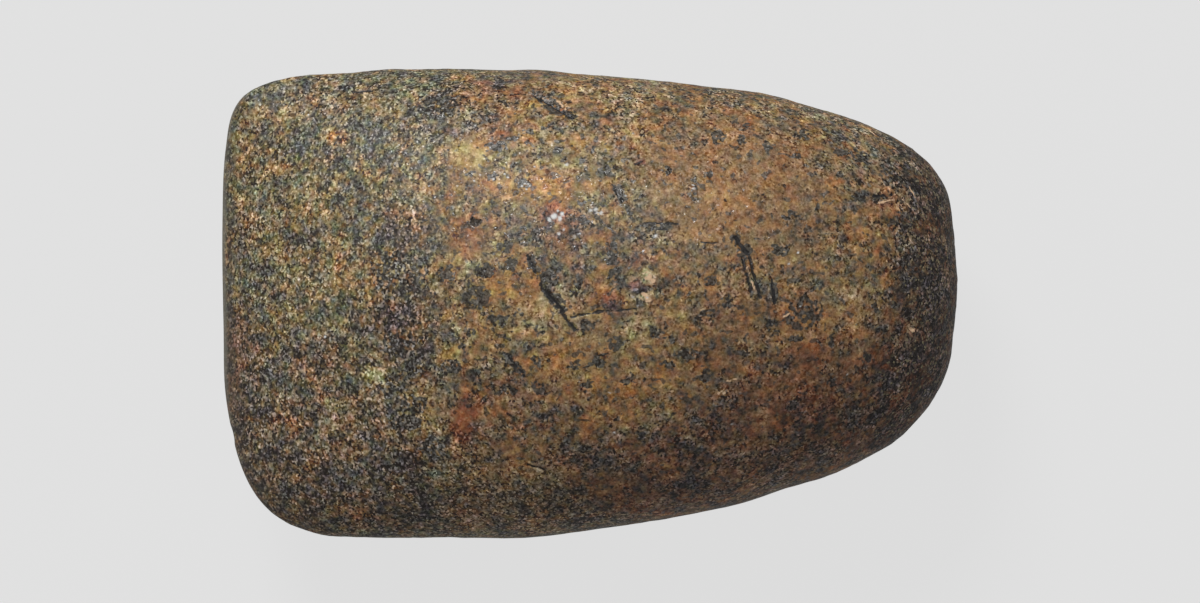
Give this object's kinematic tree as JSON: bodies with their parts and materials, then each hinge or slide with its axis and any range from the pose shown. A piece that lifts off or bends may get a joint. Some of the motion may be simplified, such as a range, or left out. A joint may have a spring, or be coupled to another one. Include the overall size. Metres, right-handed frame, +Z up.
{
  "type": "polished stone axe head",
  "caption": "Small ground and polished stone axe head with a gently curved cutting edge and a rounded, tapering butt, lying loose on one face.",
  "frame": {"origin": "centre of the bounding box in plan, at the flat the stone lies on", "axes": "+X from the cutting edge to the butt, +Y across the blade, +Z up out of the upper face"},
  "size_m": [0.085, 0.0542, 0.034],
  "materials": {
    "stone": "ground and polished dark fine-grained stone with ochre-brown staining, satin, pecked at the butt and along the sides"
  },
  "bodies": {
    "root": {"axe_head": "stone"}
  },
  "joints": []
}
